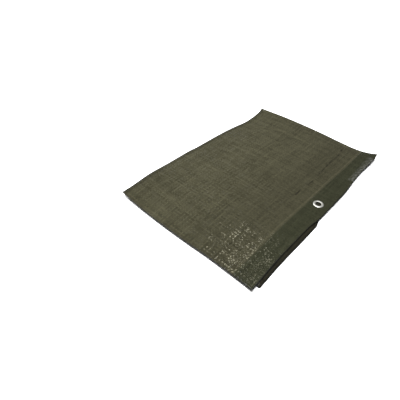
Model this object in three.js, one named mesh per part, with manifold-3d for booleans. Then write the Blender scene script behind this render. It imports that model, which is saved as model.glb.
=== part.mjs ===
// A tarpaulin of coated woven plastic, 2 m by 3 m, folded to a flat pack of about 315 by 450 mm.
// Its 3 m side is pleated into a strip of ten plies, and the strip is folded back and forth.
// Millimetres, +Z up. The long sides run along Y, the hem with its eyelet lies on the +X side,
// the top pass ends in a fold at both ends, and the origin is under the middle of the pack.

import * as THREE from 'three';
import { mergeVertices } from 'three/addons/utils/BufferGeometryUtils.js';
import Module from 'manifold-3d';

const wasm = await Module();
wasm.setup();

// Driving dimensions of the strip and of its stack
const PLY = 0.12;               // the coated woven cloth
const PLIES = 10;               // plies in one pass of the strip
const BAND = PLY * PLIES;       // one pass of the strip, pressed together
const AIR = 0.3;                // what neighbouring passes and pieces keep free
const STEP = BAND + AIR;        // one level of the stack
const TAIL_STEP = 18;           // length over which the passes come down past the tail's end
const TAIL_RECESS = 15;         // how far the tail's fold lies inside the other folds
const BEND_STEPS = 6;           // facets of a fold

// The pack is first drawn with straight sides, u across it and v along it
const HALF_WIDTH = 150;
const HALF_LENGTH = 220;
const SEAM_U = 115;             // where the hem is sewn down
const HEM_END_V = 209;          // the hem strip's flat length ends short of both folds
const TAIL_END_V = -31;         // the short last pass of the strip stops here

// The eyelet, and the flat spot of the hem in which it is pressed
const EYELET = { u: 131, v: 5.5, ring: 9.5, bore: 5, barrel: 5.7, washer: 8.6 };
const FLANGE = 1.1;             // height of the rolled front flange
const WASHER = 0.7;             // thickness of the flange at the back
const RING_SIDES = 32;
const DOME_STEPS = 6;           // facets of the front flange
const HOLE_LENGTH = 20;         // of the cylinder that cuts the hem's hole
const SPOT = { halfLength: 13, ramp: 15, margin: 5, rise: WASHER + AIR };
const POCKET = { margin: 3, height: 8 };    // the cut in which the hem strip lies

const FINISH = {
  cloth: { color: 0x565443, roughness: 0.5, metalness: 0 },
  hem: { color: 0x434435, roughness: 0.45, metalness: 0 },
  metal: { color: 0xc3c4be, roughness: 0.35, metalness: 0.9 },
};

// Where the sides and the seam of the top pass run, a row for each place along the pack
const SIDES = [
  { at: -220, left: -148.2, seam: 112.9, right: 150.2 },
  { at: -150, left: -156.4, seam: 112.9, right: 148.0 },
  { at: -95, left: -155.0, seam: 112.8, right: 148.5 },
  { at: -50, left: -154.0, seam: 113.8, right: 149.8 },
  { at: -30, left: -153.2, seam: 114.4, right: 152.9 },
  { at: 10, left: -151.9, seam: 115.1, right: 153.9 },
  { at: 70, left: -149.5, seam: 116.3, right: 154.6 },
  { at: 115, left: -144.6, seam: 118.0, right: 152.0 },
  { at: 150, left: -139.3, seam: 119.7, right: 151.5 },
  { at: 200, left: -139.5, seam: 120.7, right: 154.0 },
  { at: 220, left: -143.5, seam: 120.9, right: 152.0 },
];

// Where the folds at the two ends run, a row for each place across the pack
const ENDS = [
  { at: -150, near: -222.3, far: 219.7 },
  { at: -80, near: -224.7, far: 224.7 },
  { at: 0, near: -225.0, far: 224.2 },
  { at: 65, near: -223.0, far: 219.7 },
  { at: 95, near: -223.2, far: 217.1 },
  { at: 130, near: -223.5, far: 215.9 },
  { at: 150, near: -224.4, far: 219.2 },
];

// How far the whole stack curls up off the ground, a row for each corner that does
const CURLS = [
  { u: -150, v: 220, height: 8.0, across: 260, along: 95, sharpness: 1 },
  { u: 150, v: 220, height: 8.2, across: 80, along: 105, sharpness: 2 },
  { u: -150, v: -220, height: 4.5, across: 70, along: 60, sharpness: 2 },
];

// Low swells where air lies between the plies, each a share of the height above the ground
const SWELLS = [
  { u: -70, v: 70, reach: 95, share: 0.22 },
  { u: 30, v: -130, reach: 80, share: 0.18 },
  { u: 30, v: 150, reach: 70, share: 0.16 },
  { u: -100, v: -120, reach: 60, share: 0.14 },
];

// The edges of the short last pass, the tail: it sticks out past the others and has a round tip
const TAIL_EDGES = [
  { at: -205, left: -143.0, right: 155.0 },
  { at: -100, left: -144.0, right: 156.6 },
  { at: -49, left: -144.0, right: 156.0 },
  { at: -41, left: -143.5, right: 154.6 },
  { at: -31, left: -142.0, right: 150.4 },
];

// The passes in the order in which the strip runs through the stack. Level 0 is the bottom one,
// from and to are the ends of the flat part, and left and right are the edges.
const TOP_LEVEL = 4;
const NEAR_FOLD_V = -HALF_LENGTH + AIR / 2 + BAND;
const TAIL_FOLD_V = NEAR_FOLD_V + TAIL_RECESS;
const WRAP_V = HALF_LENGTH - (TOP_LEVEL - 1) * STEP / 2 - BAND / 2;
const PASSES = [
  { level: 0, from: -213, to: WRAP_V, left: -146.5, right: 148.5 },
  { level: TOP_LEVEL, from: WRAP_V, to: NEAR_FOLD_V, left: -150, right: 150 },
  { level: 3, from: NEAR_FOLD_V, to: WRAP_V, left: -149, right: 149 },
  { level: 2, from: WRAP_V, to: TAIL_FOLD_V, left: -148, right: 148.5 },
  { level: 1, from: TAIL_FOLD_V, to: TAIL_END_V, edges: TAIL_EDGES },
];

// Lines across and along the pack on which every layer has its points, so that all stay parallel
const SPOT_U = SEAM_U + SPOT.margin;
const COLUMNS = [-138, -112, -78, -40, 0, 40, 80, SEAM_U, SPOT_U, 135, 147];
const SPOT_ROWS = [-1, 1].map((side) => EYELET.v + side * SPOT.halfLength);
const RAMP_ROWS = [-1, 1].map((side) => EYELET.v + side * (SPOT.halfLength + SPOT.ramp));
const STEP_ROWS = [0, 6, 12, TAIL_STEP].map((run) => TAIL_END_V + run);
const ROWS = [...new Set([-HEM_END_V, -195, -180, -160, -130, -100, -78, -61, -49, -41,
  ...STEP_ROWS, ...RAMP_ROWS, ...SPOT_ROWS, 60, 90, 120, 145, 165, 182, 196, HEM_END_V])]
  .sort((a, b) => a - b);

const clamp = (value) => Math.min(1, Math.max(0, value));
const ease = (value) => clamp(value) ** 2 * (3 - 2 * clamp(value));

// The value of one column of a table at any place, on a smooth curve through its rows
function smoothValue(table, column, place) {
  const last = table.length - 2;
  const found = table.findLastIndex(({ at }) => at <= place);
  const row = Math.min(last, Math.max(0, found));
  const [before, low, high, after] = [row - 1, row, row + 1, row + 2]
    .map((near) => table[Math.min(last + 1, Math.max(0, near))]);
  const span = high.at - low.at;
  const slope = (from, to) => (to[column] - from[column]) / (to.at - from.at);
  const [startSlope, endSlope] = [slope(before, high) * span, slope(low, after) * span];
  const share = clamp((place - low.at) / span);
  const past = (place - low.at) / span - share;
  const rise = high[column] - low[column];
  const curve = low[column] + rise * ease(share)
    + share * (1 - share) * (startSlope * (1 - share) - endSlope * share);
  return curve + past * (past < 0 ? startSlope : endSlope);
}

// From the straight drawing to the real outline, whose sides and ends wander
function planX(u, v) {
  const seam = smoothValue(SIDES, 'seam', v);
  return u < SEAM_U
    ? THREE.MathUtils.mapLinear(u, -HALF_WIDTH, SEAM_U, smoothValue(SIDES, 'left', v), seam)
    : THREE.MathUtils.mapLinear(u, SEAM_U, HALF_WIDTH, seam, smoothValue(SIDES, 'right', v));
}

function planY(u, v) {
  const [near, far] = [smoothValue(ENDS, 'near', u), smoothValue(ENDS, 'far', u)];
  return THREE.MathUtils.mapLinear(v, -HALF_LENGTH, HALF_LENGTH, near, far);
}

// How far the corners and the swells lift a point
function curl(u, v) {
  return CURLS.reduce((height, corner) => {
    const across = clamp(1 - Math.abs(u - corner.u) / corner.across) ** corner.sharpness;
    const along = clamp(1 - Math.abs(v - corner.v) / corner.along) ** 2;
    return height + corner.height * across * along;
  }, 0);
}

function swell(u, v) {
  return SWELLS.reduce((share, hump) => {
    const distance = Math.hypot(u - hump.u, v - hump.v) / hump.reach;
    return share + hump.share * ease(1 - distance);
  }, 0);
}

const place = (u, v, z) => new THREE.Vector3(
  planX(u, v), planY(u, v), z * (1 + swell(u, v)) + curl(u, v));

// The underside of a level, which is one level lower past the end of the tail
function floorOf(level, v) {
  const drop = level > 1 ? STEP * ease((v - TAIL_END_V - 1) / (TAIL_STEP - 1)) : 0;
  return level * STEP - drop;
}

// A closed band between two grids of points that have the same rows and columns. Every quad is
// halved in the same direction on the plan, whichever way its rows run.
function closedBand(upper, lower) {
  const [rows, columns] = [upper.length, upper[0].length];
  const top = (row, column) => row * columns + column;
  const bottom = (row, column) => rows * columns + top(row, column);
  const index = [];
  const quad = (a, b, c, d) => index.push(a, b, c, a, c, d);
  const turned = (a, b, c, d) => quad(b, c, d, a);
  for (let row = 0; row < rows - 1; row += 1) {
    const halved = upper[row][0].y < upper[row + 1][0].y ? quad : turned;
    for (let column = 0; column < columns - 1; column += 1) {
      const [on, over] = [row + 1, column + 1];
      halved(top(row, column), top(row, over), top(on, over), top(on, column));
      halved(bottom(row, column), bottom(on, column), bottom(on, over), bottom(row, over));
    }
    const [on, edge] = [row + 1, columns - 1];
    quad(top(row, 0), top(on, 0), bottom(on, 0), bottom(row, 0));
    quad(top(row, edge), bottom(row, edge), bottom(on, edge), top(on, edge));
  }
  for (let column = 0; column < columns - 1; column += 1) {
    const [over, end] = [column + 1, rows - 1];
    quad(top(0, column), bottom(0, column), bottom(0, over), top(0, over));
    quad(top(end, column), top(end, over), bottom(end, over), bottom(end, column));
  }
  const geometry = new THREE.BufferGeometry().setFromPoints([...upper.flat(), ...lower.flat()]);
  geometry.setIndex(index);
  return geometry;
}

const acrossFrom = (left, right) => [left, ...COLUMNS.filter((u) => u > left && u < right), right];
const alongFrom = (low, high) => [low, ...ROWS.filter((v) => v > low + 1 && v < high - 1), high];

function edgeOf(pass, side, v) {
  return pass.edges ? smoothValue(pass.edges, side, v) : pass[side];
}

// The middle line of the strip through the stack. Each point has the direction out of the strip's
// outer face, as a share along v and a share up, and the strip's edges there.
function passPoints(pass) {
  const forward = Math.sign(pass.to - pass.from);
  const places = alongFrom(Math.min(pass.from, pass.to), Math.max(pass.from, pass.to));
  return (forward > 0 ? places : places.reverse()).map((v) => ({
    v,
    z: floorOf(pass.level, v) + BAND / 2,
    out: [0, -forward],
    left: edgeOf(pass, 'left', v),
    right: edgeOf(pass, 'right', v),
  }));
}

function foldPoints(pass, next) {
  const forward = Math.sign(pass.to - pass.from);
  const start = floorOf(pass.level, pass.to) + BAND / 2;
  const radius = (floorOf(next.level, pass.to) + BAND / 2 - start) / 2;
  return Array.from({ length: BEND_STEPS - 1 }, (_, step) => {
    const share = (step + 1) / BEND_STEPS;
    const [rise, run] = [Math.cos(Math.PI * share), Math.sin(Math.PI * share)];
    return {
      v: pass.to + forward * Math.abs(radius) * run,
      z: start + radius * (1 - rise),
      out: [Math.sign(radius) * run, -forward * rise],
      left: THREE.MathUtils.lerp(pass.left, edgeOf(next, 'left', pass.to), share),
      right: THREE.MathUtils.lerp(pass.right, edgeOf(next, 'right', pass.to), share),
    };
  });
}

function foldedStrip() {
  const line = PASSES.flatMap((pass, order) => {
    const next = PASSES[order + 1];
    return next ? [...passPoints(pass), ...foldPoints(pass, next)] : passPoints(pass);
  });
  const face = (side) => line.map(({ v, z, out, left, right }) => {
    const reach = side * BAND / 2;
    return acrossFrom(left, right).map((u) => place(u, v + reach * out[0], z + reach * out[1]));
  });
  return closedBand(face(-1), face(1));
}

// A stretch of the top pass along the hem, from one height above its underside to another
function hemBand(left, right, end, low, high, raise) {
  const face = (height) => alongFrom(-end, end).map((v) => acrossFrom(left, right).map(
    (u) => place(u, v, floorOf(TOP_LEVEL, v) + height + raise(u, v))));
  return closedBand(face(high), face(low));
}

// The hem stands off the pass below round the eyelet, by what the eyelet's back flange needs
function eyeletRise(u, v) {
  const across = clamp((u - SEAM_U) / SPOT.margin);
  const along = clamp((SPOT.halfLength + SPOT.ramp - Math.abs(v - EYELET.v)) / SPOT.ramp);
  return SPOT.rise * across * along;
}

// A rolled ring: a domed flange in front, a barrel through the hem and a flat flange behind
function eyeletShape(centre) {
  const { ring, bore, barrel, washer } = EYELET;
  const under = -BAND - AIR;
  const [middle, reach] = [(ring + bore) / 2, (ring - bore) / 2];
  const dome = Array.from({ length: DOME_STEPS + 1 }, (_, step) => {
    const turn = Math.PI * step / DOME_STEPS;
    return [middle + reach * Math.cos(turn), AIR + FLANGE * Math.sin(turn)];
  });
  const back = [[bore, under - WASHER], [washer, under - WASHER], [washer, under]];
  const profile = [...back, [barrel, under], [barrel, AIR], ...dome, back[0]]
    .map(([radius, height]) => new THREE.Vector2(radius, height));
  const shape = new THREE.LatheGeometry(profile, RING_SIDES);
  return shape.rotateX(Math.PI / 2).translate(centre.x, centre.y, centre.z);
}

// Closed meshes to solids and back, for cutting
function solidOf(geometry) {
  ['normal', 'uv'].forEach((name) => geometry.deleteAttribute(name));
  const merged = mergeVertices(geometry);
  return new wasm.Manifold(new wasm.Mesh({
    numProp: 3,
    vertProperties: new Float32Array(merged.attributes.position.array),
    triVerts: new Uint32Array(merged.index.array),
  }));
}

function geometryOf(solid) {
  const { vertProperties, triVerts } = solid.getMesh();
  const geometry = new THREE.BufferGeometry();
  geometry.setAttribute('position', new THREE.BufferAttribute(vertProperties, 3));
  geometry.setIndex(new THREE.BufferAttribute(triVerts, 1));
  return geometry;
}

function piece(name, geometry, finish) {
  const mesh = new THREE.Mesh(geometry, new THREE.MeshStandardMaterial(finish));
  mesh.name = name;
  return mesh;
}

const noRise = () => 0;
const hemTop = floorOf(TOP_LEVEL, EYELET.v) + BAND + SPOT.rise;
const eyeletCentre = place(EYELET.u, EYELET.v, hemTop);

// The hem strip's place is cut out of the top pass, and the eyelet's hole out of the hem strip
const pocket = solidOf(hemBand(SEAM_U - AIR, HALF_WIDTH + POCKET.margin, HEM_END_V + AIR,
  -AIR / 2, POCKET.height, noRise));
const sheet = solidOf(foldedStrip()).subtract(pocket);
const holeRadius = EYELET.barrel + AIR;
const hole = new THREE.CylinderGeometry(holeRadius, holeRadius, HOLE_LENGTH, RING_SIDES);
hole.rotateX(Math.PI / 2).translate(eyeletCentre.x, eyeletCentre.y, eyeletCentre.z);
const hem = solidOf(hemBand(SEAM_U, HALF_WIDTH, HEM_END_V, 0, BAND, eyeletRise))
  .subtract(solidOf(hole));

const tarp = new THREE.Group();
tarp.add(
  piece('tarp_sheet', geometryOf(sheet), FINISH.cloth),
  piece('hem_strip', geometryOf(hem), FINISH.hem),
  piece('eyelet', eyeletShape(eyeletCentre), FINISH.metal),
);

export default tarp;
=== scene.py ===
"""A tarpaulin of coated woven plastic, folded to a flat pack that lies on a pale floor.

The cloth is one 2 m by 3 m sheet. Its 3 m side is pleated into ten plies, and the strip that this
gives is folded back and forth through five levels. In the straight drawing of the pack, u runs
across it, v along it, and w up through one pass of the strip. Sizes are millimetres until the
meshes are made, and the mesh coordinates are metres.
"""

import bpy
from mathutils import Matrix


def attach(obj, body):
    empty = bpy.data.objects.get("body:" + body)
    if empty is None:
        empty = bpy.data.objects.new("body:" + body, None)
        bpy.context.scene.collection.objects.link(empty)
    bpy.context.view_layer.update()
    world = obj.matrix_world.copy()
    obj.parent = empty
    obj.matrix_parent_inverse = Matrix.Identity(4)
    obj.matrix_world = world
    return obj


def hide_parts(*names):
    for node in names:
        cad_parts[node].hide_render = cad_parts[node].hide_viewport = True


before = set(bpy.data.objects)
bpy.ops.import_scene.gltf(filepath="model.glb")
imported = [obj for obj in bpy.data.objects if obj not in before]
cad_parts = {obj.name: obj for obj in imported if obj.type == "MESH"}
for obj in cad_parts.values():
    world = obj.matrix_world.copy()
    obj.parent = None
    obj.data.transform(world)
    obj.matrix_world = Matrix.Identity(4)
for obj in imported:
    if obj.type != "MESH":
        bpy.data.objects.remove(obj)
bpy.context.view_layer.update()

import math
import random

import bpy
import numpy as np

MM = 0.001

# The strip and its stack, as in the solids
PLIES = 10
BAND = 1.2                  # height of one pass of the strip
AIR = 0.3                   # free height between two passes
STEP = BAND + AIR
TOP_LEVEL = 4
HALF_WIDTH = 150
HALF_LENGTH = 220
SEAM_U = 115                # where the hem is joined down
TAIL_END_V = -31
TAIL_GAP = 1                # past the tail's end, before the passes above it come down
TAIL_STEP = 18              # where they have come down by one level

# One ply inside the pass
PLY_STEP = 0.107            # from one ply to the next
PLY_THICK = 0.07
SKIN = 0.055                # from the band's lower face to the middle of its first ply
FIRST_PLY = -BAND / 2 + SKIN
OUTER_PLY = FIRST_PLY + (PLIES - 1) * PLY_STEP

# The hem on the outer ply
HEM_THICK = 0.1
HEM_LEVEL = OUTER_PLY + 0.105
SEAM_THICK = 0.02
SEAM_LEVEL = OUTER_PLY + 0.05

# The hem's round rim: how far inside the strip's edge, and w
HEM_RIM = [
    (0.6, HEM_LEVEL),
    (0.1, HEM_LEVEL - 0.03),
    (-0.02, OUTER_PLY + 0.02),
    (0.1, OUTER_PLY - 0.08),
]

# The eyelet, centred where the solid one is
EYELET_U = 131
EYELET_V = 5.5
HEM_RISE = 1.05             # the eyelet's back flange lifts the hem off the plies below by this
CLOTH_HOLE = 7.4
HOLE_MARGIN = 1.5           # a cell goes where its middle lies this far inside the hole

# The eyelet's section: radius and height above the hem, round from the bore over the front
EYELET_SECTION = [
    (5.12, -0.55), (5.05, -0.2), (5.08, 0.25), (5.3, 0.7), (5.7, 1.0), (6.3, 1.16), (7.1, 1.2),
    (7.9, 1.13), (8.7, 0.92), (9.25, 0.55), (9.48, 0.18), (9.4, -0.01), (9.1, -0.03), (6.4, -0.02),
    (5.95, -0.1), (5.95, -0.24), (8.3, -0.26), (8.62, -0.38), (8.6, -0.62), (8.2, -0.72),
    (5.7, -0.76), (5.3, -0.7),
]
EYELET_SIDES = 72

# The hem round the eyelet: its dome, and the puckers that the pressing leaves
DOME_REACH = 27
DOME_SLOPE = 15
PUCKERS = dict(count=7, height=0.1, phase=0.8, start=11, rise=4, fall=12)

# Places along the pack, with the left side, the seam and the right side of the top pass
SIDES = dict(
    at=[-220, -150, -95, -50, -30, 10, 70, 115, 150, 200, 220],
    left=[-148.2, -156.4, -155.0, -154.0, -153.2, -151.9, -149.5, -144.6, -139.3, -139.5, -143.5],
    seam=[112.9, 112.9, 112.8, 113.8, 114.4, 115.1, 116.3, 118.0, 119.7, 120.7, 120.9],
    right=[150.2, 148.0, 148.5, 149.8, 152.9, 153.9, 154.6, 152.0, 151.5, 154.0, 152.0],
)

# Places across the pack, with the fold at each end
ENDS = dict(
    at=[-150, -80, 0, 65, 95, 130, 150],
    near=[-222.3, -224.7, -225.0, -223.0, -223.2, -223.5, -224.4],
    far=[219.7, 224.7, 224.2, 219.7, 217.1, 215.9, 219.2],
)

# The short last pass, which sticks out past the others and has a round tip
TAIL_EDGES = dict(
    at=[-205, -100, -49, -41, -31],
    left=[-143.0, -144.0, -144.0, -143.5, -142.0],
    right=[155.0, 156.6, 156.0, 154.6, 150.4],
)

# Corners that curl up: place, height, reach across and along, and how sharply it fades across
CURLS = [
    dict(u=-150, v=220, height=8.0, across=260, along=95, sharpness=1),
    dict(u=150, v=220, height=8.2, across=80, along=105, sharpness=2),
    dict(u=-150, v=-220, height=4.5, across=70, along=60, sharpness=2),
]

# Low swells of the whole stack: place, reach and share of the height
SWELLS = [
    dict(u=-70, v=70, reach=95, share=0.22),
    dict(u=30, v=-130, reach=80, share=0.18),
    dict(u=30, v=150, reach=70, share=0.16),
    dict(u=-100, v=-120, reach=60, share=0.14),
]

# The folds at the ends, and the passes in the order in which the strip runs through the stack
NEAR_PULL = 2.2             # how far the thin cloth's near end lies inside the solid's
TAIL_SET_BACK = 15          # how far the tail's fold lies inside the solid's near fold
NEAR_FOLD_V = -HALF_LENGTH + AIR / 2 + BAND + NEAR_PULL
TAIL_FOLD_V = NEAR_FOLD_V + TAIL_SET_BACK - NEAR_PULL
WRAP_V = HALF_LENGTH - (TOP_LEVEL - 1) * STEP / 2 - BAND / 2
STRIP_START_V = -213 + NEAR_PULL
PASSES = [
    dict(level=0, start=STRIP_START_V, end=WRAP_V, left=-146.5, right=148.5),
    dict(level=TOP_LEVEL, start=WRAP_V, end=NEAR_FOLD_V, left=-150, right=150),
    dict(level=3, start=NEAR_FOLD_V, end=WRAP_V, left=-149, right=149),
    dict(level=2, start=WRAP_V, end=TAIL_FOLD_V, left=-148, right=148.5),
    dict(level=1, start=TAIL_FOLD_V, end=TAIL_END_V, edges=TAIL_EDGES),
]
BEND_STEPS = 7

# Rows of points along the pack: close together on the top pass, wider where the cloth is hidden
TOP_ROW_STEP = 4.6
HIDDEN_ROWS = [-209, -195, -180, -160, -130, -100, -75, -53, -41, -31, -27, -22, -17, -13,
               10, 35, 60, 90, 115, 135, 152, 168, 182, 196, 209]

# Columns of points across one ply, the same for every ply below the outer one
HIDDEN_COLUMNS = [-141, -126, -108, -60, 0, 60, 92, 110, 122, 134, 147]
OUTER_COLUMNS = [*np.linspace(-141, -93, 12), *np.linspace(-90, -74, 9), *np.linspace(-69, 75, 29),
                 *np.linspace(78, 96, 12), *np.linspace(100, 112, 4), 114.2, SEAM_U, 116.6,
                 *np.linspace(119, 147, 10)]

# How far the plies' folds and free edges lie inside the strip's edge, and how much they wander
HIDDEN_RECESS = (0.3, 2.4)
HIDDEN_SWAY = 0.7
UNDER_TOP_RECESS = 0.2
UNDER_TOP_SWAY = 0.25
INNER_EDGE = dict(seed=5, recess=1.2, sway=0.5)
OUTER_EDGE = dict(seed=3, recess=0.35)
FOLD_BULGE = 0.12           # a ply's fold is this much rounder than its two ends
FOLD_SEED = 20
RECESS_SEED = 11
WANDER = dict(octaves=3, wave=170, uneven=(0.8, 1.25), shorter=1.7, weaker=1.6)

# Painted shade: how dark the cloth is where little light gets in, from 0 to 1
SIDE_SHADE = 0.8            # along the sides of the hidden plies
COVERED_SHADE = 0.45        # on the passes below the top one
BORE_SHADE = 0.9            # behind the eyelet
BORE_SHADE_REACH = 16
BEND_SHADE_START = 0.2      # how far round a fold the shade begins, and how fast it grows
BEND_SHADE_REACH = 0.5

# The loose outer ply: its height, its slow waves with the distance to one radian, and its dimples
LOOSE_HEIGHT = 0.32
LOOSE_WAVES = [
    dict(height=0.16, u=41, v=67, phase=0.6),
    dict(height=0.12, u=-83, v=29, phase=2.1),
]
DIMPLES = dict(height=0.05, u=13, v=17, phase_u=1.2, phase_v=0.4)
END_REACH = 22              # the ply comes loose over this length from a fold
SIDE_REACH = 16             # and over this width from the left side

# Creases of the top ply: points of each in u and v, with its height and half width
CREASES = [
    dict(points=[(83, 205), (89, 140), (92, 60), (90, -45)], height=0.42, width=2.6),
    dict(points=[(-87, 40), (-82, -60), (-81, -150)], height=0.5, width=3.2),
    dict(points=[(-116, 150), (-80, 165), (-42, 174), (24, 167)], height=0.45, width=4.0),
    dict(points=[(112, -177), (124, -176), (144, -180)], height=0.35, width=2.2),
    dict(points=[(-20, -205), (8, -120), (14, 0), (6, 120)], height=0.3, width=5.0),
]
CREASE_FADE = 5             # a crease fades over one part in five of its length at each end
CREASE_RIPPLE = dict(share=0.25, waves=37, shift=20)


def ease(value):
    """Goes smoothly from 0 to 1 as the value does."""
    value = np.clip(value, 0, 1)
    return value * value * (3 - 2 * value)


def remap(value, low, high, new_low, new_high):
    return new_low + (value - low) / (high - low) * (new_high - new_low)


def smooth_value(table, column, place):
    """One column of a table at any place, on a smooth curve through its rows."""
    at = np.array(table["at"], float)
    values = np.array(table[column], float)
    place = np.asarray(place, float)
    row = np.clip(np.searchsorted(at, place, side="right") - 1, 0, len(at) - 2)
    before = np.maximum(row - 1, 0)
    after = np.minimum(row + 2, len(at) - 1)
    span = at[row + 1] - at[row]
    start_slope = (values[row + 1] - values[before]) / (at[row + 1] - at[before]) * span
    end_slope = (values[after] - values[row]) / (at[after] - at[row]) * span
    raw = (place - at[row]) / span
    share = np.clip(raw, 0, 1)
    past = raw - share
    curve = values[row] + (values[row + 1] - values[row]) * ease(share)
    curve = curve + share * (1 - share) * (start_slope * (1 - share) - end_slope * share)
    return curve + past * np.where(past < 0, start_slope, end_slope)


def placed(u, v, z):
    """From the straight drawing of the pack to the real one, in millimetres."""
    seam = smooth_value(SIDES, "seam", v)
    body = remap(u, -HALF_WIDTH, SEAM_U, smooth_value(SIDES, "left", v), seam)
    hem = remap(u, SEAM_U, HALF_WIDTH, seam, smooth_value(SIDES, "right", v))
    near = smooth_value(ENDS, "near", u)
    far = smooth_value(ENDS, "far", u)
    swell = 0
    for hump in SWELLS:
        distance = np.hypot(u - hump["u"], v - hump["v"]) / hump["reach"]
        swell = swell + hump["share"] * ease(1 - distance)
    curl = 0
    for corner in CURLS:
        across = np.clip(1 - abs(u - corner["u"]) / corner["across"], 0, 1)
        along = np.clip(1 - abs(v - corner["v"]) / corner["along"], 0, 1)
        curl = curl + corner["height"] * across ** corner["sharpness"] * along ** 2
    x = np.where(u < SEAM_U, body, hem)
    y = remap(v, -HALF_LENGTH, HALF_LENGTH, near, far)
    return np.stack([x, y, z * (1 + swell) + curl], axis=-1)


def floor_of(level, v):
    """The underside of a level, one level lower past the tail's end."""
    past_tail = np.asarray(v, float) - TAIL_END_V - TAIL_GAP
    drop = STEP * ease(past_tail / (TAIL_STEP - TAIL_GAP))
    return level * STEP - (drop if level > 1 else 0)


def middle_of(level, v):
    return float(floor_of(level, v)) + BAND / 2


def edge_of(level_pass, side, v):
    if "edges" in level_pass:
        return float(smooth_value(level_pass["edges"], side, v))
    return level_pass[side]


def direction_of(level_pass):
    return 1 if level_pass["end"] > level_pass["start"] else -1


def pass_places(level_pass):
    """Where the rows of points lie along one pass, in the order in which the strip runs."""
    low, high = sorted((level_pass["start"], level_pass["end"]))
    if level_pass["level"] == TOP_LEVEL:
        count = round((high - low) / TOP_ROW_STEP)
        places = [low + (high - low) * step / count for step in range(count + 1)]
    else:
        places = [low] + [v for v in HIDDEN_ROWS if low + 1 < v < high - 1] + [high]
    return places[::direction_of(level_pass)]


def pass_rows(here):
    """The rows of points along one pass."""
    rows = []
    for v in pass_places(here):
        rows.append(dict(
            v=v, z=middle_of(here["level"], v), out_v=0, out_z=-direction_of(here),
            left=edge_of(here, "left", v), right=edge_of(here, "right", v),
            level=here["level"], bend=False, bend_shade=0))
    return rows


def bend_rows(here, following, start):
    """The rows round the fold between two passes, from the height at which the first one ends."""
    turn_v = here["end"]
    forward = direction_of(here)
    radius = (middle_of(following["level"], turn_v) - start) / 2
    left = edge_of(following, "left", turn_v)
    right = edge_of(following, "right", turn_v)
    rows = []
    for step in range(1, BEND_STEPS):
        share = step / BEND_STEPS
        run = math.sin(math.pi * share)
        rise = math.cos(math.pi * share)
        rows.append(dict(
            v=turn_v + forward * abs(radius) * run, z=start + radius * (1 - rise),
            out_v=math.copysign(run, radius), out_z=-forward * rise,
            left=remap(share, 0, 1, here["left"], left),
            right=remap(share, 0, 1, here["right"], right),
            level=here["level"], bend=True,
            bend_shade=float(ease((run - BEND_SHADE_START) / BEND_SHADE_REACH))))
    return rows


def strip_rows():
    """The strip's middle line: a dict for each row of points, with its length along the strip."""
    rows = []
    for order, here in enumerate(PASSES):
        rows += pass_rows(here)
        if order + 1 < len(PASSES):
            rows += bend_rows(here, PASSES[order + 1], rows[-1]["z"])
    length = 0
    for before, row in zip([rows[0]] + rows, rows):
        length += math.hypot(row["v"] - before["v"], row["z"] - before["z"])
        row["length"] = length
    return rows


def values_of(items, key):
    return np.array([item[key] for item in items], float)


def wander(length, seed, size):
    """A slow uneven line along the strip, the same in every run."""
    dice = random.Random(seed)
    total = np.zeros_like(length)
    for octave in range(WANDER["octaves"]):
        phase = dice.uniform(0, 2 * math.pi)
        wave = WANDER["wave"] / (WANDER["shorter"] ** octave) * dice.uniform(*WANDER["uneven"])
        total += np.sin(length / wave * 2 * math.pi + phase) / (WANDER["weaker"] ** octave)
    return size * total / 2


def distance_to_line(u, v, points):
    """How far each place lies from a crease, and how far along the crease it is, from 0 to 1."""
    best = np.full(np.shape(u), np.inf)
    along = np.zeros(np.shape(u))
    lengths = [math.dist(a, b) for a, b in zip(points, points[1:])]
    done = 0
    for start, end, length in zip(points, points[1:], lengths):
        step_u = (end[0] - start[0]) / length
        step_v = (end[1] - start[1]) / length
        reach = np.clip((u - start[0]) * step_u + (v - start[1]) * step_v, 0, length)
        gap = np.hypot(u - start[0] - reach * step_u, v - start[1] - reach * step_v)
        along = np.where(gap < best, (done + reach) / sum(lengths), along)
        best = np.minimum(best, gap)
        done += length
    return best, along


def crease_height(u, v, crease):
    """The ridge of one crease: uneven along its line, and gone at its ends."""
    gap, along = distance_to_line(u, v, crease["points"])
    fade = ease(along * CREASE_FADE) * ease((1 - along) * CREASE_FADE)
    phase = along * CREASE_RIPPLE["waves"] + crease["height"] * CREASE_RIPPLE["shift"]
    uneven = 1 - CREASE_RIPPLE["share"] + CREASE_RIPPLE["share"] * np.sin(phase)
    return crease["height"] * fade * uneven * np.exp(-(gap / crease["width"]) ** 2)


def loose_height(u, v):
    """How far the outer ply would stand off with no fold or eyelet near."""
    height = LOOSE_HEIGHT
    for wave in LOOSE_WAVES:
        height = height + wave["height"] * np.sin(u / wave["u"] + v / wave["v"] + wave["phase"])
    dimple_u = np.sin(u / DIMPLES["u"] + DIMPLES["phase_u"])
    dimple_v = np.sin(v / DIMPLES["v"] + DIMPLES["phase_v"])
    height = height + DIMPLES["height"] * dimple_u * dimple_v
    for crease in CREASES:
        height = height + crease_height(u, v, crease)
    return height


def pucker_height(u, v, distance):
    """Small puckers in a ring round the eyelet."""
    angle = np.arctan2(v - EYELET_V, u - EYELET_U)
    inner = ease((distance - PUCKERS["start"]) / PUCKERS["rise"])
    outer = ease((DOME_REACH - distance) / PUCKERS["fall"])
    return PUCKERS["height"] * np.sin(PUCKERS["count"] * angle + PUCKERS["phase"]) * inner * outer


def top_relief(u, v):
    """How far the outer ply of the top pass stands off the ply below: never under it."""
    ends = ease((v - NEAR_FOLD_V) / END_REACH) * ease((WRAP_V - v) / END_REACH)
    fold_side = ease((u + HALF_WIDTH) / SIDE_REACH)
    distance = np.hypot(u - EYELET_U, v - EYELET_V)
    dome = ease((DOME_REACH - distance) / DOME_SLOPE)
    loose = fold_side * loose_height(u, v) * (1 - dome)
    return ends * (loose + HEM_RISE * dome + pucker_height(u, v, distance))


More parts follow.
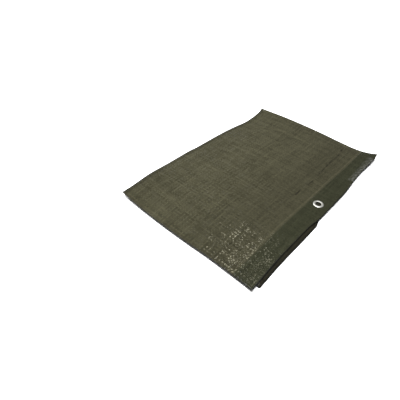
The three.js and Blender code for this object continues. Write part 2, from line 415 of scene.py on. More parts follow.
def on_top(rows):
    """Which rows lie on the flat of the top pass."""
    return np.array([row["level"] == TOP_LEVEL and not row["bend"] for row in rows])


def column_line(rows, column, length):
    """Where one column lies across the pack, at every row."""
    if not column["side"]:
        return column["u"]
    inward = -1 if column["side"] == "right" else 1
    recess = column["recess"] + wander(length, column["seed"], column["sway"])
    edge = values_of(rows, column["side"])
    return edge + inward * np.maximum(recess, 0) - inward * column["bulge"]


def flat_places(rows, columns, u, length):
    """Each point's place on the flat sheet: along the strip, and across it ply by ply."""
    left = values_of(rows, "left")[:, None]
    right = values_of(rows, "right")[:, None]
    across = (u - left) / (right - left)
    ply = values_of(columns, "ply")
    along = 2 * HALF_WIDTH * (ply + np.where(ply % 2 == 1, across, 1 - across))
    return np.stack(np.broadcast_arrays(length[:, None], along), axis=-1)


def shade_of(rows, columns, u, v, outer):
    """The painted shade of each point: round the folds, along hidden sides, when covered, and in the
    bore.
    """
    shade = np.maximum(values_of(rows, "bend_shade")[:, None], values_of(columns, "turned"))
    covered = values_of(rows, "level")[:, None] < TOP_LEVEL
    shade = np.maximum(shade, COVERED_SHADE * covered)
    below = ~outer & on_top(rows)[:, None]
    distance = np.hypot(u - EYELET_U, v - EYELET_V)
    bore = ease((BORE_SHADE_REACH - distance) / CLOTH_HOLE)
    return np.maximum(shade, BORE_SHADE * below * bore)


def cloth_grid(rows, columns):
    """Places of the points where rows along the strip meet columns across it."""
    length = values_of(rows, "length")
    u = np.zeros((len(rows), len(columns)))
    for index, column in enumerate(columns):
        u[:, index] = column_line(rows, column, length)
    w = values_of(columns, "w")
    v = values_of(rows, "v")[:, None] + w * values_of(rows, "out_v")[:, None]
    z = values_of(rows, "z")[:, None] + w * values_of(rows, "out_z")[:, None]
    outer = values_of(columns, "ply")[None, :] == PLIES - 1
    z = z + np.where(on_top(rows)[:, None] & outer, top_relief(u, v), 0)
    flat = flat_places(rows, columns, u, length)
    return u, v, placed(u, v, z), flat, shade_of(rows, columns, u, v, outer)


# turned is the painted shade along the column, from 0 to 1
def edge_column(ply, side, w, seed, recess=0.0, sway=0.0, bulge=0.0, turned=0.0):
    """A column that follows one edge of the strip, a little inside it."""
    return dict(ply=ply, side=side, w=w, seed=seed, recess=recess, sway=sway, bulge=bulge,
                turned=turned)


def inner_column(ply, u, w):
    return dict(ply=ply, side="", u=u, w=w, turned=0.0)


def fold_columns(ply, w, recess, sway):
    """The three columns of the fold from one ply to the next."""
    side = "right" if ply % 2 == 1 else "left"
    columns = []
    for part, bulge in ((0, 0), (0.5, FOLD_BULGE), (1, 0)):
        columns.append(edge_column(ply + round(part), side, w + part * PLY_STEP, FOLD_SEED + ply,
                                   recess=recess, sway=sway, bulge=bulge, turned=SIDE_SHADE))
    return columns


def sheet_columns():
    """The ten plies as one zigzag from the inner free edge to the outer one."""
    dice = random.Random(RECESS_SEED)
    columns = [edge_column(0, "right", FIRST_PLY, turned=SIDE_SHADE, **INNER_EDGE)]
    for ply in range(PLIES - 1):
        w = FIRST_PLY + ply * PLY_STEP
        order = 1 if ply % 2 == 1 else -1
        columns += [inner_column(ply, u, w) for u in HIDDEN_COLUMNS[::order]]
        if ply == PLIES - 2:
            columns += fold_columns(ply, w, UNDER_TOP_RECESS, UNDER_TOP_SWAY)
        else:
            columns += fold_columns(ply, w, dice.uniform(*HIDDEN_RECESS), HIDDEN_SWAY)
    columns += [inner_column(PLIES - 1, u, OUTER_PLY) for u in OUTER_COLUMNS]
    columns.append(edge_column(PLIES - 1, "right", OUTER_PLY, **OUTER_EDGE))
    return columns


def hem_columns():
    """The turned-over hem on the outer ply, from its seam to the free edge and round it."""
    outer = PLIES - 1
    columns = [inner_column(outer, SEAM_U, SEAM_LEVEL)]
    columns += [inner_column(outer, u, HEM_LEVEL) for u in OUTER_COLUMNS if u > SEAM_U + 1]
    for inside, w in HEM_RIM:
        # painted shade on the underside of the hem's rim
        turned = SIDE_SHADE if w < HEM_LEVEL else 0.0
        columns.append(edge_column(outer, "right", w, OUTER_EDGE["seed"], bulge=-inside,
                                   turned=turned))
    return columns


def grid_normals(points):
    down = np.gradient(points, axis=0)
    over = np.gradient(points, axis=1)
    normal = np.cross(over, down)
    smallest = np.finfo(float).tiny
    return normal / np.maximum(np.linalg.norm(normal, axis=-1, keepdims=True), smallest)


def cell_faces(keep):
    """The flat faces and the side faces of a closed sheet, by the numbers of their corners."""
    rows, columns = keep.shape[0] + 1, keep.shape[1] + 1
    below = rows * columns
    number = np.arange(below).reshape(rows, columns)
    row, column = np.nonzero(keep)
    a = number[row, column]
    b = number[row, column + 1]
    c = number[row + 1, column + 1]
    d = number[row + 1, column]
    upper = np.stack([a, b, c, d], axis=1)
    lower = np.stack([a, d, c, b], axis=1) + below
    padded = np.zeros((rows + 1, columns + 1), bool)
    padded[1:-1, 1:-1] = keep
    sides = []
    neighbours = ((-1, 0, a, b), (0, 1, b, c), (1, 0, c, d), (0, -1, d, a))
    for step_row, step_column, first, second in neighbours:
        is_open = ~padded[row + 1 + step_row, column + 1 + step_column]
        start = first[is_open]
        end = second[is_open]
        sides.append(np.stack([start, start + below, end + below, end], axis=1))
    return np.concatenate([upper, lower]), np.concatenate(sides)


def add_piece(name, points, faces, smooth):
    """A mesh from points in millimetres, as an object of the scene."""
    mesh = bpy.data.meshes.new(name)
    mesh.from_pydata((np.array(points) * MM).tolist(), [], faces)
    mesh.polygons.foreach_set("use_smooth", smooth)
    piece = bpy.data.objects.new(name, mesh)
    bpy.context.collection.objects.link(piece)
    return piece


def thin_cloth(name, points, flat, thickness, keep, shade):
    """A closed sheet on a grid of points, without the cells that aren't kept.

    Its vertices carry their place on the flat sheet, and the painted shade there.
    """
    half = grid_normals(points) * np.reshape(thickness, (1, -1, 1)) / 2
    corners = np.concatenate([(points + half).reshape(-1, 3), (points - half).reshape(-1, 3)])
    flats, sides = cell_faces(keep)
    used, faces = np.unique(np.concatenate([flats, sides]), return_inverse=True)
    faces = faces.reshape(-1, 4)
    smooth = np.arange(len(faces)) < len(flats)
    piece = add_piece(name, corners[used], faces.tolist(), smooth)
    mesh = piece.data
    loops = np.empty(len(mesh.loops), int)
    mesh.loops.foreach_get("vertex_index", loops)
    flat_points = np.concatenate([flat.reshape(-1, 2)] * 2)[used] * MM
    layer = mesh.uv_layers.new(name="cloth")
    layer.data.foreach_set("uv", flat_points[loops].ravel())
    # the fold attribute carries the painted shade
    fold = mesh.attributes.new("fold", "FLOAT", "POINT")
    fold.data.foreach_set("value", np.concatenate([shade.ravel()] * 2)[used])
    mesh.update()
    return piece


def eyelet_hole(rows, columns, u, v):
    """Which cells of the outer ply lie inside the eyelet's hole."""
    outer = values_of(columns, "ply") == PLIES - 1
    top = on_top(rows)
    centre_u = (u[:-1, :-1] + u[1:, 1:]) / 2
    centre_v = (v[:-1, :-1] + v[1:, 1:]) / 2
    inside = np.hypot(centre_u - EYELET_U, centre_v - EYELET_V) < CLOTH_HOLE - HOLE_MARGIN
    return inside & (outer[:-1] & outer[1:]) & (top[:-1] & top[1:])[:, None]


def make_cloth(name, rows, columns, thickness):
    u, v, points, flat, shade = cloth_grid(rows, columns)
    keep = ~eyelet_hole(rows, columns, u, v)
    return thin_cloth(name, points, flat, thickness, keep, shade)


def make_sheet(rows):
    return make_cloth("tarp_sheet_cloth", rows, sheet_columns(), PLY_THICK)


def make_hem(rows):
    columns = hem_columns()
    thickness = [SEAM_THICK] + [HEM_THICK] * (len(columns) - 1)
    return make_cloth("hem_strip_cloth", rows, columns, thickness)


def make_eyelet(centre):
    """The eyelet's section, turned once round."""
    hem_face = middle_of(TOP_LEVEL, EYELET_V) + HEM_LEVEL + HEM_THICK / 2
    top = hem_face + HEM_RISE
    size = len(EYELET_SECTION)
    points = []
    faces = []
    for side in range(EYELET_SIDES):
        angle = 2 * math.pi * side / EYELET_SIDES
        here = side * size
        after = (side + 1) % EYELET_SIDES * size
        for step, (radius, height) in enumerate(EYELET_SECTION):
            points.append((centre[0] + radius * math.cos(angle),
                           centre[1] + radius * math.sin(angle), top + height))
            on = (step + 1) % size
            faces.append((here + step, here + on, after + on, after + step))
    return add_piece("eyelet_ring", points, faces, [True] * len(faces))


class Tree:
    """A short way to add nodes to a material or a node group."""

    def __init__(self, tree):
        self.tree = tree

    def add(self, kind, inputs=None, **settings):
        made = self.tree.nodes.new(kind)
        for key, value in settings.items():
            setattr(made, key, value)
        for key, value in (inputs or {}).items():
            if isinstance(value, bpy.types.NodeSocket):
                self.tree.links.new(value, made.inputs[key])
            else:
                made.inputs[key].default_value = value
        return made

    def math(self, operation, *values):
        return self.add("ShaderNodeMath", dict(enumerate(values)), operation=operation).outputs[0]

    def vector(self, operation, *values, output="Vector"):
        made = self.add("ShaderNodeVectorMath", dict(enumerate(values)), operation=operation)
        return made.outputs[output]

    def parts(self, vector):
        return self.add("ShaderNodeSeparateXYZ", {0: vector}).outputs

    def stretched(self, vector, scale):
        return self.add("ShaderNodeMapping", {"Vector": vector, "Scale": scale}).outputs[0]

    def mix(self, share, first, second):
        made = self.add("ShaderNodeMix", {0: share, 2: first, 3: second}, data_type="FLOAT")
        return made.outputs[0]

    def mix_colour(self, share, first, second):
        made = self.add("ShaderNodeMix", {0: share, 6: first, 7: second}, data_type="RGBA")
        return made.outputs[2]

    def noise(self, vector, scale, detail=2.0, roughness=0.5):
        made = self.add("ShaderNodeTexNoise", {"Vector": vector, "Scale": scale, "Detail": detail,
                                               "Roughness": roughness})
        return made.outputs[0]

    def white_noise(self, dimensions, inputs):
        return self.add("ShaderNodeTexWhiteNoise", inputs, noise_dimensions=dimensions).outputs

    def spread(self, value, low, high, new_low=0.0, new_high=1.0):
        made = self.add("ShaderNodeMapRange", {0: value, 1: low, 2: high, 3: new_low, 4: new_high},
                        clamp=True)
        return made.outputs[0]

    def bump(self, height, depth, **under):
        made = self.add("ShaderNodeBump", {"Strength": 1.0, "Distance": depth, "Height": height,
                                           **under})
        return made.outputs[0]

    def group(self, group, **inputs):
        return self.add("ShaderNodeGroup", inputs, node_tree=group).outputs

    def link(self, value, socket):
        self.tree.links.new(value, socket)


def new_group(name, inputs, outputs):
    group = bpy.data.node_groups.new(name, "ShaderNodeTree")
    for label, kind, value in inputs:
        socket = group.interface.new_socket(label, in_out="INPUT", socket_type=kind)
        if value is not None:
            socket.default_value = value
    for label, kind in outputs:
        group.interface.new_socket(label, in_out="OUTPUT", socket_type=kind)
    tree = Tree(group)
    entry = tree.add("NodeGroupInput").outputs
    leave = tree.add("NodeGroupOutput")
    return tree, entry, leave, group


# The weave, in metres on the flat sheet
TAPE_PITCH = 0.0031
CELLS_PER_STRETCH = 4.0     # crossings over which a tape leans the same way
WAVER_SCALE = 14.0          # the tapes run a little out of true
WAVER_SIZE = 0.5
EDGE_POWER = 7.0            # a tape is flat, and falls off steeply at its edges
CROWN_SAG = 0.45
WEFT_SHIFT = 37.0           # keeps the draws of the two directions apart


def tape_shape(tree, run):
    """A tape's profile across it, and its crown along it as it dives under the next one."""
    away = tree.math("MULTIPLY", tree.math("ABSOLUTE", run), 2.0)
    profile = tree.math("SUBTRACT", 1.0, tree.math("POWER", away, EDGE_POWER))
    sag = tree.math("MULTIPLY", CROWN_SAG, tree.math("POWER", away, 2.0))
    return profile, tree.math("SUBTRACT", 1.0, sag)


def tape_slope(tree, runs, colour):
    """The way each stretch of tape leans, drawn from a random colour."""
    draw = tree.add("ShaderNodeSeparateColor", {0: colour}).outputs
    parts = []
    for axis in range(2):
        parts.append(tree.math("MULTIPLY", runs[axis], tree.math("SUBTRACT", draw[axis], 0.5)))
    return tree.math("ADD", *parts)


def tape_weave_group():
    """Flat tapes woven over and under, each stretch of tape leaning its own way under the coating."""
    tree, entry, leave, group = new_group(
        "tape_weave",
        [("Vector", "NodeSocketVector", None), ("Pitch", "NodeSocketFloat", TAPE_PITCH),
         ("Lean", "NodeSocketFloat", None)],
        [("Height", "NodeSocketFloat"), ("Tape", "NodeSocketFloat"), ("Gap", "NodeSocketFloat"),
         ("Cell", "NodeSocketFloat")])
    shift = tree.math("MULTIPLY", tree.noise(entry["Vector"], WAVER_SCALE, detail=1.0), WAVER_SIZE)
    parts = tree.parts(entry["Vector"])
    cells, stretches, runs, profiles, crowns, draws = [], [], [], [], [], []
    for axis in range(2):
        count = tree.math("ADD", tree.math("DIVIDE", parts[axis], entry["Pitch"]), shift)
        cell = tree.math("FLOOR", count)
        run = tree.math("SUBTRACT", tree.math("FRACT", count), 0.5)
        profile, crown = tape_shape(tree, run)
        key = tree.math("ADD", cell, WEFT_SHIFT * axis)
        draws.append(tree.white_noise("1D", {"W": key})["Value"])
        stretches.append(tree.math("FLOOR", tree.math("DIVIDE", cell, CELLS_PER_STRETCH)))
        cells.append(cell)
        runs.append(run)
        profiles.append(profile)
        crowns.append(crown)
    over = tree.math("FLOORED_MODULO", tree.math("ADD", *cells), 2.0)
    place = tree.add("ShaderNodeCombineXYZ", {0: tree.mix(over, cells[0], stretches[0]),
                                              1: tree.mix(over, stretches[1], cells[1]), 2: over})
    own = tree.white_noise("3D", {"Vector": place.outputs[0]})
    slope = tree.math("MULTIPLY", tape_slope(tree, runs, own["Color"]), entry["Lean"])
    shapes = [tree.math("MULTIPLY", profiles[axis], crowns[1 - axis]) for axis in range(2)]
    tree.link(tree.math("ADD", tree.mix(over, *shapes), slope), leave.inputs["Height"])
    tree.link(tree.mix(over, *draws), leave.inputs["Tape"])
    tree.link(tree.math("SUBTRACT", 1.0, tree.mix(over, *profiles)), leave.inputs["Gap"])
    tree.link(own["Value"], leave.inputs["Cell"])
    return group


# Rubbed patches, and scuffs, which are noise drawn out along one direction of the sheet
PATCH_SCALE = 6.0
PATCH_RANGE = (0.32, 0.68)
SCUFF_STRETCHES = ((11.0, 240.0, 1.0), (240.0, 11.0, 1.0))
SCUFF_RANGE = (0.55, 0.75)


def handling_group():
    """Faint rubbed patches, and thin scuffs that run both ways across the cloth."""
    tree, entry, leave, group = new_group(
        "handling_marks",
        [("Vector", "NodeSocketVector", None), ("Scale", "NodeSocketFloat", PATCH_SCALE)],
        [("Patches", "NodeSocketFloat"), ("Scuffs", "NodeSocketFloat")])
    slow = tree.noise(entry["Vector"], entry["Scale"], detail=4.0, roughness=0.55)
    tree.link(tree.spread(slow, *PATCH_RANGE), leave.inputs["Patches"])
    scuffs = []
    for scale in SCUFF_STRETCHES:
        drawn = tree.noise(tree.stretched(entry["Vector"], scale), 1.0, detail=3.0, roughness=0.6)
        scuffs.append(tree.spread(drawn, *SCUFF_RANGE))
    tree.link(tree.math("MAXIMUM", *scuffs), leave.inputs["Scuffs"])
    return group


EDGE_REACH = 0.0012         # how far from a fold or a free edge the painted shade reaches
EDGE_RANGE = (0.5, 1.5)     # in parts of that reach, where the painted shade starts to fade and is gone


def edge_shade_group():
    """Painted shade where the cloth turns round a fold or ends: the sheet repeats every ply."""
    tree, entry, leave, group = new_group(
        "edge_shade",
        [("Vector", "NodeSocketVector", None), ("Ply", "NodeSocketFloat", 2 * HALF_WIDTH * MM),
         ("Reach", "NodeSocketFloat", EDGE_REACH)],
        [("Shade", "NodeSocketFloat")])
    across = tree.parts(entry["Vector"])[1]
    from_fold = tree.math("PINGPONG", across, tree.math("MULTIPLY", entry["Ply"], 0.5))
    side = tree.spread(tree.math("DIVIDE", from_fold, entry["Reach"]), *EDGE_RANGE, 1.0, 0.0)
    fold = tree.add("ShaderNodeAttribute", attribute_name="fold").outputs["Fac"]
    tree.link(tree.math("MAXIMUM", side, fold), leave.inputs["Shade"])
    return group


LINE_CUT = 0.001            # a drawn line's ends fade over twice this length


def soft_line_group():
    """One straight stretch of a drawn line on the plan, soft at its sides and cut at its ends."""
    tree, entry, leave, group = new_group(
        "soft_line",
        [("Vector", "NodeSocketVector", None), ("Start", "NodeSocketVector", None),
         ("Along", "NodeSocketVector", None), ("Length", "NodeSocketFloat", None),
         ("Width", "NodeSocketFloat", None)],
        [("Line", "NodeSocketFloat")])
    x, y, _ = tree.parts(tree.vector("SUBTRACT", entry["Vector"], entry["Start"]))
    along_x, along_y, _ = tree.parts(entry["Along"])
    reach = tree.math("ADD", tree.math("MULTIPLY", x, along_x), tree.math("MULTIPLY", y, along_y))
    side = tree.math("SUBTRACT", tree.math("MULTIPLY", x, along_y),
                     tree.math("MULTIPLY", y, along_x))
    near = tree.spread(tree.math("ABSOLUTE", side), 0.0, entry["Width"], 1.0, 0.0)
    half = tree.math("MULTIPLY", entry["Length"], 0.5)
    middle = tree.math("ABSOLUTE", tree.math("SUBTRACT", reach, half))
    inside = tree.spread(middle, tree.math("SUBTRACT", half, LINE_CUT),
                         tree.math("ADD", half, LINE_CUT), 1.0, 0.0)
    tree.link(tree.math("MULTIPLY", near, inside), leave.inputs["Line"])
    return group


def drawn_line(tree, groups, place, points, width):
    """A soft line through points of the plan, in metres."""
    whole = 0.0
    for start, end in zip(points, points[1:]):
        length = math.dist(start, end)
        along = [(after - before) / length for before, after in zip(start, end)]
        stretch = tree.group(groups["line"], Vector=place, Start=(*start, 0.0), Along=(*along, 0.0),
                             Length=length, Width=width)
        whole = tree.math("MAXIMUM", stretch[0], whole)
    return whole


def new_material(name):
    material = bpy.data.materials.new(name)
    material.use_nodes = True
    nodes = material.node_tree.nodes
    nodes.clear()
    tree = Tree(material.node_tree)
    shader = tree.add("ShaderNodeBsdfPrincipled")
    output = tree.add("ShaderNodeOutputMaterial")
    tree.link(shader.outputs[0], output.inputs[0])
    return material, tree, shader


def scaled(colour, factor=1.0):
    return (*[channel * factor for channel in colour], 1.0)


# The two finishes of the cloth: the lightest and darkest tapes, their roughness and lean, the
# depth of the weave and of the gaps in it, and how much smoother the tapes that glint are
TARP = dict(light=(0.0506, 0.0479, 0.0289), dark=(0.0178, 0.0168, 0.0096), gloss=0.075, lean=7.0,
            depth=0.00006, gaps=0.7, glints=0.03, specular=0.15)
HEM = dict(light=(0.0226, 0.0236, 0.0136), dark=(0.0113, 0.0120, 0.0068), gloss=0.13, lean=10.0,
           depth=0.00005, gaps=0.6, glints=0.03, specular=0.11)

# What the tone of the cloth is made of
TAPE_SHARE = 0.4
STRETCH_SHARE = 0.4
PATCH_SHARE = 0.2
SCUFF_STRENGTH = 0.35
SCUFF_GAIN = 1.6            # scuffs are lighter than the lightest tape by this
GAP_TONE = 0.35
SHADE_STRENGTH = 0.9
SHADE_TONE = 0.12

# What its roughness is made of, and the fine grain of the coating
TAPE_ROUGHNESS = 0.05
GLINT_START = 0.7           # draws above this glint
SHADE_ROUGHNESS = 0.5
GRAIN_SCALE = 900.0
GRAIN_DEPTH = 0.000008


def cloth_tone(tree, finish, woven, marks):
    """The colour of the tapes, with rubbed patches, scuffs and dark gaps."""
    tone = tree.math("ADD", tree.math("MULTIPLY", woven["Tape"], TAPE_SHARE),
                     tree.math("MULTIPLY", woven["Cell"], STRETCH_SHARE))
    tone = tree.math("ADD", tone, tree.math("MULTIPLY", marks["Patches"], PATCH_SHARE))
    colour = tree.mix_colour(tone, scaled(finish["dark"]), scaled(finish["light"]))
    scuffs = tree.math("MULTIPLY", marks["Scuffs"], SCUFF_STRENGTH)
    colour = tree.mix_colour(scuffs, colour, scaled(finish["light"], SCUFF_GAIN))
    gaps = tree.math("MULTIPLY", woven["Gap"], finish["gaps"])
    return tree.mix_colour(gaps, colour, scaled(finish["dark"], GAP_TONE))


def cloth_material(name, groups, finish):
    """Coated woven cloth: tapes of slightly different tone and gloss under one thin coat."""
    material, tree, shader = new_material(name)
    flat = tree.add("ShaderNodeUVMap", uv_map="cloth").outputs[0]
    woven = tree.group(groups["weave"], Vector=flat, Lean=finish["lean"])
    marks = tree.group(groups["marks"], Vector=flat)
    shade = tree.group(groups["edges"], Vector=flat)[0]
    colour = cloth_tone(tree, finish, woven, marks)
    rough = tree.math("ADD", finish["gloss"], tree.math("MULTIPLY", woven["Tape"], TAPE_ROUGHNESS))
    glints = tree.spread(woven["Cell"], GLINT_START, 1.0, 0.0, finish["glints"])
    rough = tree.math("SUBTRACT", rough, glints)
    rough = tree.math("ADD", rough, tree.math("MULTIPLY", shade, SHADE_ROUGHNESS))
    weave = tree.bump(woven["Height"], finish["depth"])
    grain = tree.bump(tree.noise(flat, GRAIN_SCALE), GRAIN_DEPTH, Normal=weave)
    tree.link(rough, shader.inputs["Roughness"])
    tree.link(grain, shader.inputs["Normal"])
    shader.inputs["Specular IOR Level"].default_value = finish["specular"]
    return material, tree, shader, colour, shade, flat


def finish_colour(tree, shader, colour, shade, finish):
    """Darkens the cloth where little light gets in, and gives the shader its colour."""
    share = tree.math("MULTIPLY", shade, SHADE_STRENGTH)
    colour = tree.mix_colour(share, colour, scaled(finish["dark"], SHADE_TONE))
    tree.link(colour, shader.inputs["Base Color"])


# Creases that show, in metres on the plan: painted shade along one in a broken line, and a painted
# highlight along two
CREASE_SHADE_LINE = [
    (0.0851, 0.2048), (0.0912, 0.1615), (0.0890, 0.1375), (0.0920, 0.0740), (0.0926, 0.0508),
    (0.0894, 0.0226), (0.0890, -0.0100),
]
CREASE_HIGHLIGHT_LINES = [
    [(-0.0887, 0.010), (-0.0837, -0.112), (-0.0827, -0.155)],
    [(-0.1167, 0.145), (-0.0447, 0.171), (0.0213, 0.165)],
]
CREASE_WIDTH = 0.0025
DASH_SCALE = (75.0, 60.0, 1.0)
DASH_RANGE = (0.40, 0.58)
CREASE_SHADE_STRENGTH = 0.9
CREASE_SHADE_TONE = 0.2             # of the darkest tape's colour
CREASE_HIGHLIGHT_STRENGTH = 0.13
CREASE_HIGHLIGHT_TONE = 1.9             # of the lightest tape's colour

# Where the hem has a painted sheen at its curled far corner, in metres on the plan
SHEEN_CORNER_EDGE = [(0.149, 0.105), (0.150, 0.200)]
SHEEN_WIDTH = 0.011
SHEEN_COLOUR = (0.085, 0.086, 0.080, 1.0)
SPECKLE_SCALE = 260.0
SPECKLE_RANGE = (0.44, 0.60)
SPECKLE_SHARE = (0.05, 0.75)

# The seam, in metres across the flat sheet, and the darker cloth beside it
SEAM_ACROSS = (PLIES * 2 * HALF_WIDTH - (HALF_WIDTH - SEAM_U)) * MM
DARKER_START = SEAM_ACROSS - 0.13
DARKER_END = SEAM_ACROSS - 0.04
DARKER_STRENGTH = 0.30
DARKER_TONE = 0.5
# A painted highlight along the seam's weld
WELD_HIGHLIGHT_ACROSS = SEAM_ACROSS - 0.0022
WELD_HIGHLIGHT_WIDTH = 0.0018
WELD_HIGHLIGHT_STRENGTH = 0.2
WELD_HIGHLIGHT_TONE = 1.6
HEM_START = SEAM_ACROSS + 0.0022    # up to here the hem's colour still turns from the body's


# Painted shade in the broken dark crease, and painted highlights along the two pale ones
def show_creases(tree, groups, colour, flat):
    place = tree.add("ShaderNodeTexCoord").outputs["Object"]
    broken = tree.noise(tree.stretched(flat, DASH_SCALE), 1.0, roughness=0.6)
    line = drawn_line(tree, groups, place, CREASE_SHADE_LINE, CREASE_WIDTH)
    line = tree.math("MULTIPLY", line, tree.spread(broken, *DASH_RANGE))
    dark = tree.math("MULTIPLY", line, CREASE_SHADE_STRENGTH)
    colour = tree.mix_colour(dark, colour, scaled(TARP["dark"], CREASE_SHADE_TONE))
    for points in CREASE_HIGHLIGHT_LINES:
        line = drawn_line(tree, groups, place, points, CREASE_WIDTH)
        pale = tree.math("MULTIPLY", line, CREASE_HIGHLIGHT_STRENGTH)
        colour = tree.mix_colour(pale, colour, scaled(TARP["light"], CREASE_HIGHLIGHT_TONE))
    return colour


def show_seam(tree, colour, flat):
    """Cloth that darkens towards the hem, and a faint painted highlight along the seam's weld."""
    across = tree.parts(flat)[1]
    darker = tree.spread(across, DARKER_START, DARKER_END, 0.0, DARKER_STRENGTH)
    colour = tree.mix_colour(darker, colour, scaled(TARP["dark"], DARKER_TONE))
    beside = tree.math("ABSOLUTE", tree.math("SUBTRACT", across, WELD_HIGHLIGHT_ACROSS))
    weld = tree.math("MULTIPLY", tree.spread(beside, 0.0, WELD_HIGHLIGHT_WIDTH, 1.0, 0.0), WELD_HIGHLIGHT_STRENGTH)
    return tree.mix_colour(weld, colour, scaled(TARP["light"], WELD_HIGHLIGHT_TONE))


def woven_tarp(groups):
    material, tree, shader, colour, shade, flat = cloth_material("woven_tarp", groups, TARP)
    colour = show_creases(tree, groups, colour, flat)
    colour = show_seam(tree, colour, flat)
    finish_colour(tree, shader, colour, shade, TARP)
    return material


def pressed_hem(groups):
    """The hem's doubled cloth, with a painted sheen at its curled far corner, and still the body's at
    its seam.
    """
    material, tree, shader, colour, shade, flat = cloth_material("pressed_hem", groups, HEM)
    place = tree.add("ShaderNodeTexCoord").outputs["Object"]
    speckle = tree.spread(tree.noise(flat, SPECKLE_SCALE), *SPECKLE_RANGE, *SPECKLE_SHARE)
    # painted sheen, speckled, along the hem's edge at the far corner
    edge = drawn_line(tree, groups, place, SHEEN_CORNER_EDGE, SHEEN_WIDTH)
    colour = tree.mix_colour(tree.math("MULTIPLY", edge, speckle), colour, SHEEN_COLOUR)
    body = tree.spread(tree.parts(flat)[1], SEAM_ACROSS, HEM_START, 1.0, 0.0)
    mean = [(light + dark) / 2 for light, dark in zip(TARP["light"], TARP["dark"])]
    colour = tree.mix_colour(body, colour, scaled(mean))
    finish_colour(tree, shader, colour, shade, HEM)
    return material


# The eyelet's metal, with painted shade in the bore up to these distances from its middle, in metres
BORE_START = 0.0052
BORE_END = 0.0058
BORE_STRENGTH = 0.9
BORE_PAINTED_SHADE = (0.02, 0.02, 0.018, 1.0)
DULL_METAL = (0.30, 0.30, 0.285, 1.0)
BRIGHT_METAL = (0.48, 0.48, 0.455, 1.0)
CLOUD_SCALE = 260.0
CLOUD_RANGE = (0.3, 0.7)
CLOUD_ROUGHNESS = (0.55, 0.42)
DENT_DEPTH = 0.00002
SCRATCH_SCALE = (400.0, 400.0, 3000.0)
SCRATCH_ROUGHNESS = 0.08


def eyelet_material(centre):
    """Dull pressed metal, with painted shade inside the bore."""
    material, tree, shader = new_material("pressed_eyelet_metal")
    place = tree.add("ShaderNodeTexCoord").outputs["Object"]
    cloud = tree.noise(place, CLOUD_SCALE, detail=3.0)
    colour = tree.mix_colour(tree.spread(cloud, *CLOUD_RANGE), DULL_METAL, BRIGHT_METAL)
    shifted = tree.vector("SUBTRACT", place, (*centre, 0.0))
    plan = tree.vector("MULTIPLY", shifted, (1.0, 1.0, 0.0))
    radius = tree.vector("LENGTH", plan, output="Value")
    # painted shade on the bore's inner wall
    bore = tree.spread(radius, BORE_START, BORE_END, 1.0, 0.0)
    bore = tree.math("MULTIPLY", bore, BORE_STRENGTH)
    tree.link(tree.mix_colour(bore, colour, BORE_PAINTED_SHADE), shader.inputs["Base Color"])
    scratch = tree.noise(tree.stretched(place, SCRATCH_SCALE), 1.0)
    rough = tree.spread(cloud, *CLOUD_RANGE, *CLOUD_ROUGHNESS)
    rough = tree.math("ADD", rough, tree.math("MULTIPLY", scratch, SCRATCH_ROUGHNESS))
    tree.link(rough, shader.inputs["Roughness"])
    tree.link(tree.bump(cloud, DENT_DEPTH), shader.inputs["Normal"])
    shader.inputs["Metallic"].default_value = 1.0
    return material


# The floor, in metres
FLOOR_HALF = 6.0
FLOOR_DROP = 0.0002         # below the lowest ply
FLOOR_DULL = (0.95, 0.95, 0.95, 1.0)
FLOOR_BRIGHT = (0.97, 0.97, 0.97, 1.0)
FLOOR_CLOUD_SCALE = 3.0
FLOOR_ROUGHNESS = 0.9
FLOOR_SPECULAR = 0.1


def floor_material():
    material, tree, shader = new_material("pale_floor")
    place = tree.add("ShaderNodeTexCoord").outputs["Object"]
    cloud = tree.noise(place, FLOOR_CLOUD_SCALE)
    tree.link(tree.mix_colour(cloud, FLOOR_DULL, FLOOR_BRIGHT), shader.inputs["Base Color"])
    shader.inputs["Roughness"].default_value = FLOOR_ROUGHNESS
    shader.inputs["Specular IOR Level"].default_value = FLOOR_SPECULAR
    return material


# The photograph's viewpoint, in metres: 43 degrees down, beyond the pack's near right corner
CAMERA_PLACE = (0.2696, -0.4593, 0.4200)
CAMERA_HEADING = (-0.6794, 0.7337)
CAMERA_PITCH = math.radians(43.07)
CAMERA_LENS = 29.88
CAMERA_SENSOR = 36
CAMERA_CLIP = 0.01

# Soft boxes: place and target in metres, side, power in watts and colour
LIGHTS = dict(
    large_softbox=dict(place=(0.1, -0.3, 2.0), target=(0.1, -0.3001, 0), side=1.0, power=92,
                       colour=(1, 1, 1)),
    small_softbox=dict(place=(-0.35, 0.58, 1.3), target=(-0.35, 0.5799, 0), side=0.15, power=2.0,
                       colour=(1.0, 0.95, 0.70)),
    floor_fill=dict(place=(-2.3, -0.4, 1.6), target=(-1.7, 0.3, 0), side=0.8, power=80,
                    colour=(1, 1, 1)),
)
WORLD_STRENGTH = 0.22


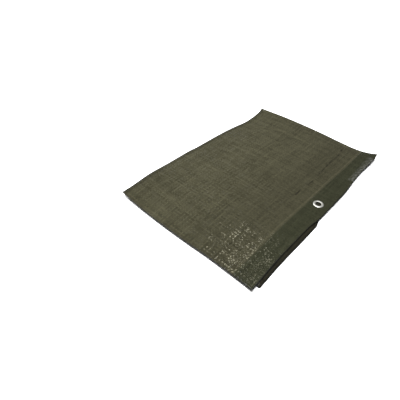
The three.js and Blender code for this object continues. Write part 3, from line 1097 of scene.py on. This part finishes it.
def add_camera():
    data = bpy.data.cameras.new("camera")
    data.lens = CAMERA_LENS
    data.sensor_width = CAMERA_SENSOR
    data.clip_start = CAMERA_CLIP
    camera = bpy.data.objects.new("camera", data)
    camera.location = CAMERA_PLACE
    heading = math.atan2(-CAMERA_HEADING[0], CAMERA_HEADING[1])
    camera.rotation_euler = (math.pi / 2 - CAMERA_PITCH, 0, heading)
    bpy.context.collection.objects.link(camera)
    bpy.context.scene.camera = camera


def add_area_light(name, place, target, side, power, colour):
    data = bpy.data.lights.new(name, "AREA")
    data.shape = "SQUARE"
    data.size = side
    data.energy = power
    data.color = colour
    light = bpy.data.objects.new(name, data)
    light.location = place
    away = np.array(place) - np.array(target)
    tilt = math.atan2(math.hypot(away[0], away[1]), away[2])
    light.rotation_euler = (tilt, 0, math.atan2(away[1], away[0]) + math.pi / 2)
    bpy.context.collection.objects.link(light)


def add_floor():
    corners = [(-1, -1, 0), (1, -1, 0), (1, 1, 0), (-1, 1, 0)]
    mesh = bpy.data.meshes.new("floor")
    mesh.from_pydata((np.array(corners) * FLOOR_HALF).tolist(), [], [(0, 1, 2, 3)])
    floor = bpy.data.objects.new("floor", mesh)
    floor.location.z = -FLOOR_DROP
    floor.data.materials.append(floor_material())
    bpy.context.collection.objects.link(floor)


def add_world():
    world = bpy.data.worlds.new("studio")
    world.use_nodes = True
    background = world.node_tree.nodes["Background"]
    background.inputs[0].default_value = (1, 1, 1, 1)
    background.inputs[1].default_value = WORLD_STRENGTH
    bpy.context.scene.world = world


add_camera()
add_floor()
add_world()
for light_name, light in LIGHTS.items():
    add_area_light(light_name, **light)
bpy.context.scene.view_settings.view_transform = "Standard"

strip = strip_rows()
sheet = make_sheet(strip)
hem = make_hem(strip)
eyelet_centre = placed(np.array(float(EYELET_U)), np.array(float(EYELET_V)), np.array(0.0))
eyelet = make_eyelet(eyelet_centre)

groups = dict(weave=tape_weave_group(), marks=handling_group(), edges=edge_shade_group(),
              line=soft_line_group())
sheet.data.materials.append(woven_tarp(groups))
hem.data.materials.append(pressed_hem(groups))
eyelet.data.materials.append(eyelet_material([float(value) * MM for value in eyelet_centre[:2]]))

for piece in (sheet, hem, eyelet):
    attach(piece, "root")
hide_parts("tarp_sheet")
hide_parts("hem_strip")
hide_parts("eyelet")
